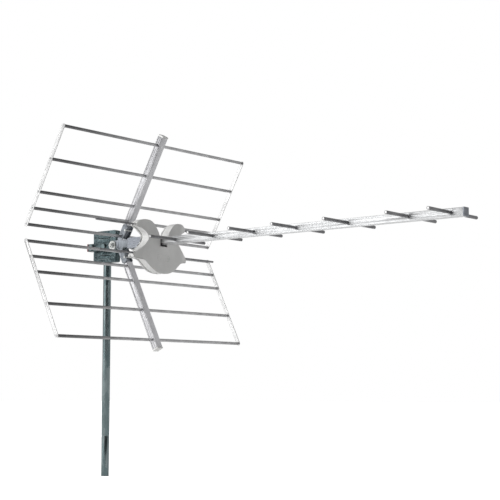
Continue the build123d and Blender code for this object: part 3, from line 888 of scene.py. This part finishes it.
# %% Run a tree and keep its result
def grow(name, tree, guide_points, body, slot, *solids, **values):
    """Run a tree on guide points and hand over the plain mesh that it leaves."""
    guide = bpy.data.meshes.new(name + "_guide")
    guide.from_pydata([tuple(p) for p in guide_points], [], [])
    made = bpy.data.objects.new(name, guide)
    bpy.context.scene.collection.objects.link(made)
    modifier = made.modifiers.new("grow", "NODES")
    modifier.node_group = tree
    values["Finish"] = finishes[slot]
    for item in tree.interface.items_tree:
        key = item.name.replace(" ", "_")
        if item.in_out == "INPUT" and key in values:
            modifier[item.identifier] = values[key]
    return hand_over(settle(made), body, slot, *solids)


def lathe(name, profile, sides=28):
    """A shape turned about Y through the origin, from (radius, distance) pairs."""
    bm = bmesh.new()
    turn = Vector((0, 1, 0)).to_track_quat("Z", "Y").to_matrix()
    angles = [2 * math.pi * k / sides for k in range(sides)]
    rings = []
    for radius, along in profile:
        if radius < 1e-7:
            rings.append([bm.verts.new(turn @ Vector((0, 0, along)))])
        else:
            rings.append([bm.verts.new(turn @ Vector((radius * math.cos(a), radius * math.sin(a), along)))
                          for a in angles])
    for ring, following in zip(rings, rings[1:]):
        for k in range(sides):
            corners = [ring[k % len(ring)], ring[(k + 1) % len(ring)],
                       following[(k + 1) % len(following)], following[k % len(following)]]
            bm.faces.new(list(dict.fromkeys(corners)))
    # A profile that comes back to its start, such as a tube's, leaves one ring of doubled points.
    bmesh.ops.remove_doubles(bm, verts=bm.verts, dist=0.0000005)
    bmesh.ops.recalc_face_normals(bm, faces=bm.faces)
    return mesh_object(name, bm)


def pattern_shape(made):
    """Keep a shape only as a pattern for copies: out of sight and out of the object."""
    made.hide_render = True
    made.hide_viewport = True
    return made


whole_turn = (0.0, math.tau, 0.0)
origin = [(0.0, 0.0, 0.0)]
print("growing helpers ready")

# %% [markdown]
# ## Directors
#
# Seven short tubes pass through the boom. Each is open at both ends, with the small inward burr that
# a tube cutter leaves, and is held by two dimples beside the boom. A turned profile gives the tube its
# wall and its lips in one go, and the tree repeats it along the boom at the solids' own places.

# %% Make the seven directors
director_half = size("director_1").y / 2
director_radius = size("director_1").z / 2
bore = director_radius - 0.0008
lip = 0.0004
half_profile = [(bore, 0.0), (bore, director_half - 0.001), (bore - 0.0002, director_half - lip),
                (bore + 0.0001, director_half), (director_radius - lip, director_half),
                (director_radius, director_half - lip)]
collar_at = tube_width / 2 + 0.0006
half_profile += [(director_radius, collar_at + 0.0035), (director_radius - 0.00035, collar_at + 0.0024),
                 (director_radius, collar_at + 0.0012), (director_radius, 0.0)]
mirrored = [(r, -y) for r, y in reversed(half_profile[:-1])]
tube_profile = half_profile + mirrored

director_shape = pattern_shape(lathe("director_shape", tube_profile))
director_names = [f"director_{k}" for k in range(1, 8)]
directors = grow("directors", on_points, [middle(name) for name in director_names], "antenna",
                 "element_aluminium", *director_names, Piece=director_shape, Turn=whole_turn, Seed=4)
print("directors:", len(directors.data.polygons), "faces")

# %% Close their ends
# A bright disc closes each end, just inside the lip. Points on the two ends of every director carry it.
disc = [(0.0, -0.0005), (bore - 0.0001, -0.0005), (bore - 0.0001, 0.0003), (bore - 0.0005, 0.0005),
        (0.0, 0.0005)]
disc_shape = pattern_shape(lathe("disc_shape", disc, 24))
end_points = [middle(name) + Vector((0, side * (director_half - 0.0009), 0))
              for name in director_names for side in (-1, 1)]
# The discs take the rails' finish, whose dark edge colour is a painted shade.
grow("director_ends", on_points, end_points, "antenna", "rail_aluminium", Piece=disc_shape,
     Turn=whole_turn, Seed=6)
print("end discs:", len(end_points))

# %% [markdown]
# ## Reflector rods and rails
#
# Each half of the reflector is a rule: seven even places on a straight line that leans forward, two
# of them empty. The line's start and pitch come from the first two rods' solids. A rod's ends are
# turned down and peened over the rails, which shows as a small domed rivet head on each tip.

# %% Make the rods of both halves
rod_radius = size("upper_rod_3").z / 2
rod_half = size("upper_rod_3").y / 2
rail_thick = size("upper_rail_near").y
head = rod_half - 0.0008
shoulder = head - rail_thick
one_side = [(0.0, head + 0.0008), (0.0010, head + 0.0007), (0.0018, head + 0.0004), (0.0022, head),
            (0.0015, head), (0.0015, shoulder), (rod_radius - 0.0003, shoulder),
            (rod_radius, shoulder - 0.0004)]
rod_profile = one_side + [(r, -y) for r, y in reversed(one_side)]
rod_shape = pattern_shape(lathe("rod_shape", rod_profile, 20))
for half in ("upper", "lower"):
    first, second = middle(f"{half}_rod_1"), middle(f"{half}_rod_2")
    rods = grow(f"{half}_rods", rod_rule, origin, f"{half}_reflector", "reflector_aluminium",
                *[f"{half}_rod_{k}" for k in range(1, 6)], Start=first, Pitch=second - first, Places=7,
                First_Gap=3, Second_Gap=5, Piece=rod_shape, Turn=whole_turn, Seed=9)
    print(half, "rods:", len(rods.data.polygons), "faces, pitch", round((second - first).length, 4))

# %% [markdown]
# ## Dipole arms
#
# Four thin arms stand out of the housing. Each has a chamfered tip and, where it enters its collar, a
# narrow groove for the seal. They are one turned shape set on four points.

# %% Make the four arms
arm_names = [f"dipole_arm_{level}_{side}" for level in ("upper", "lower") for side in ("near", "far")]
arm_half = size(arm_names[0]).y / 2
arm_radius = size(arm_names[0]).z / 2
arm_side = [(0.0, arm_half), (arm_radius - 0.0006, arm_half), (arm_radius, arm_half - 0.0008)]
arm_groove = [(arm_radius, 0.003), (arm_radius - 0.0003, 0.0026), (arm_radius - 0.0003, 0.0014),
              (arm_radius, 0.001)]
arm_profile = arm_side + arm_groove + [(r, -y) for r, y in reversed(arm_side + arm_groove)]
arm_shape = pattern_shape(lathe("arm_shape", arm_profile, 20))
arms = grow("dipole_arms", on_points, [middle(name) for name in arm_names], "antenna",
            "element_aluminium", *arm_names, Piece=arm_shape, Turn=whole_turn, Seed=2)
print("arms:", len(arms.data.polygons), "faces")

# %% [markdown]
# ## Struts
#
# Each half of the reflector hangs on a square tube with a shallow groove rolled into its near and far
# faces, which stiffens it and shows as a dark band between two bright edges. The section is drawn
# once and pushed along the line of each half.

# %% Make the struts
strut_from, strut_to = 0.027, 0.219     # along the strut, from the axis of the first rod
strut_half = size("upper_strut").y / 2

# A quarter of the section, mirrored round: rounded corners and a groove in the two side faces.
quarter = [(strut_half - 0.0009, 0.0), (strut_half - 0.0009, 0.0034), (strut_half, 0.0044),
           (strut_half, strut_half - 0.0012), (strut_half - 0.0004, strut_half - 0.0004),
           (strut_half - 0.0012, strut_half), (0.0, strut_half)]
right = quarter + [(-y, x) for y, x in reversed(quarter[:-1])]
strut_section = right + [(y, -x) for y, x in reversed(right[1:-1])]

for half in ("upper", "lower"):
    foot = middle(f"{half}_rod_1")
    along = (middle(f"{half}_rod_5") - foot).normalized()
    front = along.cross(Vector((0, 1, 0)))
    bm = bmesh.new()
    rings = []
    for distance in (strut_from, strut_to):
        centre = foot + along * distance
        rings.append([bm.verts.new(centre + Vector((0, y, 0)) + front * x) for y, x in strut_section])
    strut = rounded_edges(skinned(f"{half}_strut_finished", bm, rings, closed=False), 0.0002, 1)
    hand_over(strut, f"{half}_reflector", "strut_aluminium", f"{half}_strut")
    print(half, "strut:", len(strut.data.polygons), "faces")

# %% [markdown]
# ## The clamp
#
# The bracket is pressed from thick plate. Two raised beads stiffen it above and below the boom, each
# with a pair of round dimples where the press held the plate. They are low closed domes that sink
# into the plate, so the solid under them stays whole.

# %% Dress the bracket
def raised(name, centre, half_length, half_height, rise, rings=5, steps=40):
    """A closed bead on a face that looks along -Y: a slot's outline with a domed section."""
    bm = bmesh.new()
    straight = max(half_length - half_height, 0.0)
    levels = []
    for k in range(rings):
        tilt = math.pi / 2 * k / rings
        reach, out = half_height * math.cos(tilt), rise * math.sin(tilt)
        ring = []
        for i in range(steps):
            angle = 2 * math.pi * (i + 0.5) / steps
            shift = straight if math.cos(angle) > 0 else -straight
            ring.append(bm.verts.new((centre.x + shift + reach * math.cos(angle), centre.y - out,
                                      centre.z + reach * math.sin(angle))))
        levels.append(ring)
    base = [bm.verts.new(v.co + Vector((0, 0.0006, 0))) for v in levels[0]]
    return skinned(name, bm, [base] + levels, closed=False)


bracket_low, bracket_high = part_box("clamp_bracket")
bracket_middle = (bracket_low.x + bracket_high.x) / 2
bracket = rounded_edges(mesh_object("bracket_plate", merged_copy("clamp_bracket")), 0.0007, 3)
bead_sizes, dimple_sizes = (0.0185, 0.0042, 0.0019), (0.0026, 0.0026, 0.0014)
dimple_from_middle = 0.0265
details = []
for z in (bracket_high.z - 0.0125, bracket_low.z + 0.0115):
    details.append(raised("bead", Vector((bracket_middle, bracket_low.y, z)), *bead_sizes))
    for side in (-1, 1):
        place = Vector((bracket_middle + side * dimple_from_middle, bracket_low.y, z))
        details.append(raised("dimple", place, *dimple_sizes))
bracket = join("clamp_bracket_finished", bracket, *details)
settle(bracket)
hand_over(bracket, "antenna", "galvanised_steel", "clamp_bracket")
print("bracket:", len(bracket.data.polygons), "faces")

# %% [markdown]
# ## Threads
#
# A thread is a ridge on a helix. The tree draws the helix as a curve, sweeps a small triangle along it
# and closes its ends. Its turns come from the length and the pitch. The bolts have a coarse thread
# and the coaxial connector a fine one.

# %% The tree that winds a thread
thread_tree, source, result = geometry_tree(
    "thread", [("Radius", "Float"), ("Length", "Float"), ("Pitch", "Float"), ("Rotation", "Vector"),
               ("Place", "Vector"), ("Finish", "Material")])
turns = maths(thread_tree, "DIVIDE", source["Length"], source["Pitch"])
helix = wired(thread_tree, "GeometryNodeCurveSpiral", {
    "Resolution": 20, "Rotations": turns, "Start Radius": source["Radius"],
    "End Radius": source["Radius"], "Height": source["Length"]})
ridge_radius = product(thread_tree, source["Pitch"], 0.42)
ridge = wired(thread_tree, "GeometryNodeCurvePrimitiveCircle", {"Resolution": 3, "Radius": ridge_radius})
swept = wired(thread_tree, "GeometryNodeCurveToMesh", {
    "Curve": helix.outputs["Curve"], "Profile Curve": ridge.outputs["Curve"], "Fill Caps": True})
placed = wired(thread_tree, "GeometryNodeTransform", {
    "Geometry": swept.outputs["Mesh"], "Translation": source["Place"], "Rotation": source["Rotation"]})
finish_real(thread_tree, placed.outputs["Geometry"], source, result)


def islands(name):
    """The boxes of the separate solids that share one node."""
    bm = merged_copy(name)
    waiting, found = set(bm.verts), []
    while waiting:
        group, reach = set(), [waiting.pop()]
        while reach:
            v = reach.pop()
            group.add(v)
            for e in v.link_edges:
                other = e.other_vert(v)
                if other in waiting:
                    waiting.discard(other)
                    reach.append(other)
        places = [v.co for v in group]
        low = Vector([min(p[k] for p in places) for k in range(3)])
        high = Vector([max(p[k] for p in places) for k in range(3)])
        found.append((low, high))
    bm.free()
    return sorted(found, key=lambda box: tuple(round(v, 5) for v in box[0]))


# %% Wind the threads of the clamp bolts and the connector
bolt_radius, bolt_pitch, bolt_thread = 0.003, 0.001, 0.0275
connector_radius, connector_pitch, connector_length = 0.00462, 0.00079, 0.0095
quarter_turn = math.pi / 2
for count, (low, high) in enumerate(islands("clamp_bolts"), start=1):
    centre = (low + high) / 2
    thread = grow(f"bolt_thread_{count}", thread_tree, origin, "antenna", "zinc_fasteners",
                  Radius=bolt_radius, Length=bolt_thread, Pitch=bolt_pitch,
                  Rotation=(-quarter_turn, 0.0, 0.0),
                  Place=(centre.x, high.y - bolt_thread - 0.0006, centre.z))
    print("bolt", count, "from y %.4f to %.4f," % (low.y, high.y), len(thread.data.polygons), "faces")
barrel_low, barrel_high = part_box("f_connector")
barrel = (barrel_low + barrel_high) / 2
connector_thread = grow("connector_thread", thread_tree, origin, "antenna", "connector_nickel",
                        Radius=connector_radius, Length=connector_length, Pitch=connector_pitch,
                        Rotation=(0.0, quarter_turn, 0.0),
                        Place=(barrel_low.x + 0.0008, barrel.y, barrel.z))
print("connector thread:", len(connector_thread.data.polygons), "faces")

# %% [markdown]
# ## Everything else
#
# The pieces left have their shape already. They need soft edges, because a perfectly sharp edge
# never catches the light. The width follows the piece: small for sheet metal and fasteners, larger
# for mouldings.

# %% Round the edges of the pieces that are left
edge_width = {"mast_cap": 0.0009, "front_boom_plug": 0.0009, "rear_boom_plug": 0.0009,
              "boom_sleeve": 0.0004, "hub_cheek_near": 0.0007, "hub_cheek_far": 0.0007,
              "clamp_jaw": 0.0007, "wing_nut_rear": 0.0008, "wing_nut_front": 0.0008}
sheet, sheet_edge, other_edge = 0.003, 0.0002, 0.0004
# The rear tube is aluminium, but takes the clamp's dark zinc finish: a painted shade, for the shade
# that it lies in. The bolts in the clamp have dull zinc. The plugs that show are paler than the hidden
# ones.
other_slot = {"rear_boom": "galvanised_steel", "front_boom_plug": "sleeve_plastic",
              "upper_strut_plug": "housing_plastic", "lower_strut_plug": "housing_plastic",
              "clamp_bolts": "mast_steel"}
stood_for = set()
for made in bpy.context.scene.objects:
    stood_for |= set(made.get("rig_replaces", []))
for name in sorted(set(nodes) - stood_for):
    usual_width = sheet_edge if min(size(name)) < sheet else other_edge
    refine(name, edge_width.get(name, usual_width), other_slot.get(name))
print("pieces in the finished antenna:", len(made_pieces))
